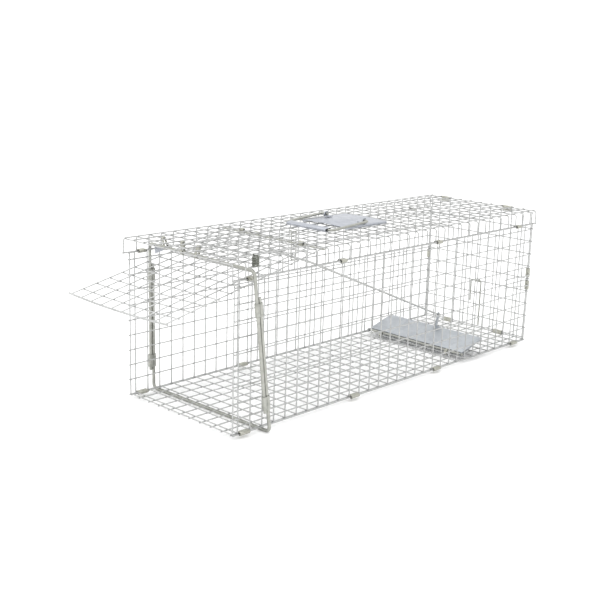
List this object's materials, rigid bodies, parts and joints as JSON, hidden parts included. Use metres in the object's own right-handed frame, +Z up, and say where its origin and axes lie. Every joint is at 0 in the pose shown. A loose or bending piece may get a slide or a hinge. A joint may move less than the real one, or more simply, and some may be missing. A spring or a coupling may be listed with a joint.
{
  "type": "live catch trap",
  "caption": "Long welded-wire box trap with an open drop door at the front, a floor treadle with a trigger rod, a front hoop, and a folding carrying handle on a guard plate.",
  "frame": {"origin": "bottom centre of the whole part's box, door open and handle folded: the underside of the front hoop's lower bar", "axes": "+X across to the side with the two rear tie wires, +Y from the mouth to the closed rear end, +Z up"},
  "size_m": [0.2894, 0.9234, 0.2903],
  "materials": {
    "galvanised_mesh_wire": "hot-dip galvanised, welded wire",
    "galvanised_round_bar": "dull zinc plate",
    "zinc_sheet": "galvanised sheet, satin",
    "clip_steel": "dull zinc plate, darkened",
    "spring_steel": "dark spring steel"
  },
  "bodies": {
    "base": {"bait_hook": "galvanised_round_bar", "bait_hook_clip": "clip_steel", "door_hinge_clip_far": "clip_steel", "door_hinge_clip_near": "clip_steel", "floor_clip_far_1": "clip_steel", "floor_clip_far_2": "clip_steel", "floor_clip_far_3": "clip_steel", "floor_clip_near_1": "clip_steel", "floor_clip_near_2": "clip_steel", "floor_clip_near_3": "clip_steel", "floor_clip_near_4": "clip_steel", "floor_panel": "galvanised_mesh_wire", "handle_lug_far": "zinc_sheet", "handle_lug_near": "zinc_sheet", "handle_plate": "zinc_sheet", "hem_clip_far_1": "clip_steel", "hem_clip_far_2": "clip_steel", "hem_clip_far_3": "clip_steel", "hem_clip_far_4": "clip_steel", "hem_clip_near_1": "clip_steel", "hem_clip_near_2": "clip_steel", "hem_clip_near_3": "clip_steel", "hem_clip_near_4": "clip_steel", "hoop_gusset": "zinc_sheet", "hoop_hanger_1": "clip_steel", "hoop_hanger_2": "clip_steel", "hoop_hanger_3": "clip_steel", "hoop_sleeve_far_lower": "clip_steel", "hoop_sleeve_far_upper": "clip_steel", "hoop_sleeve_near_lower": "clip_steel", "hoop_sleeve_near_upper": "clip_steel", "hoop_spring": "spring_steel", "lower_hoop": "galvanised_round_bar", "rear_edge_clip_far_1": "clip_steel", "rear_edge_clip_near_1": "clip_steel", "rear_edge_clip_near_2": "clip_steel", "rear_foot_clip_far": "clip_steel", "rear_foot_clip_near": "clip_steel", "rear_panel": "galvanised_mesh_wire", "rear_tie_wire_1": "galvanised_mesh_wire", "rear_tie_wire_2": "galvanised_mesh_wire", "rear_top_clip_far": "clip_steel", "rear_top_clip_near": "clip_steel", "roof_panel": "galvanised_mesh_wire", "side_panel_far": "galvanised_mesh_wire", "side_panel_near": "galvanised_mesh_wire", "treadle_foot_far": "clip_steel", "treadle_foot_near": "clip_steel", "trigger_rod_guide": "galvanised_round_bar", "upper_hoop": "galvanised_round_bar"},
    "door": {"door_panel": "galvanised_mesh_wire", "door_hinge_wire": "galvanised_round_bar", "door_end_wire": "galvanised_round_bar"},
    "treadle": {"treadle_plate": "zinc_sheet", "treadle_axle": "galvanised_round_bar", "treadle_arm": "zinc_sheet"},
    "trigger_rod": {"trigger_rod": "galvanised_round_bar"},
    "handle": {"handle_bail": "galvanised_round_bar", "handle_grip": "zinc_sheet"}
  },
  "joints": [
    {"name": "door_hinge", "type": "hinge", "parent": "base", "child": "door", "pos_m": [0, -0.14545, 0.26861], "axis": [1, 0, 0], "range_deg": [0, 39.8]},
    {"name": "treadle_pivot", "type": "hinge", "parent": "base", "child": "treadle", "pos_m": [0, 0.25663, 0.01405], "axis": [-1, 0, 0], "range_deg": [0, 15]},
    {"name": "trigger_rod_pivot", "type": "hinge", "parent": "treadle", "child": "trigger_rod", "pos_m": [0, 0.32413, 0.05975], "axis": [1, 0, 0], "range_deg": [0, 13.2]},
    {"name": "handle_swing", "type": "hinge", "parent": "base", "child": "handle", "pos_m": [0, 0.03678, 0.28525], "axis": [-1, 0, 0], "range_deg": [0, 172]}
  ],
  "couplings": [
    {"joint": "trigger_rod_pivot", "follows": "treadle_pivot", "ratio": 0.878}
  ]
}
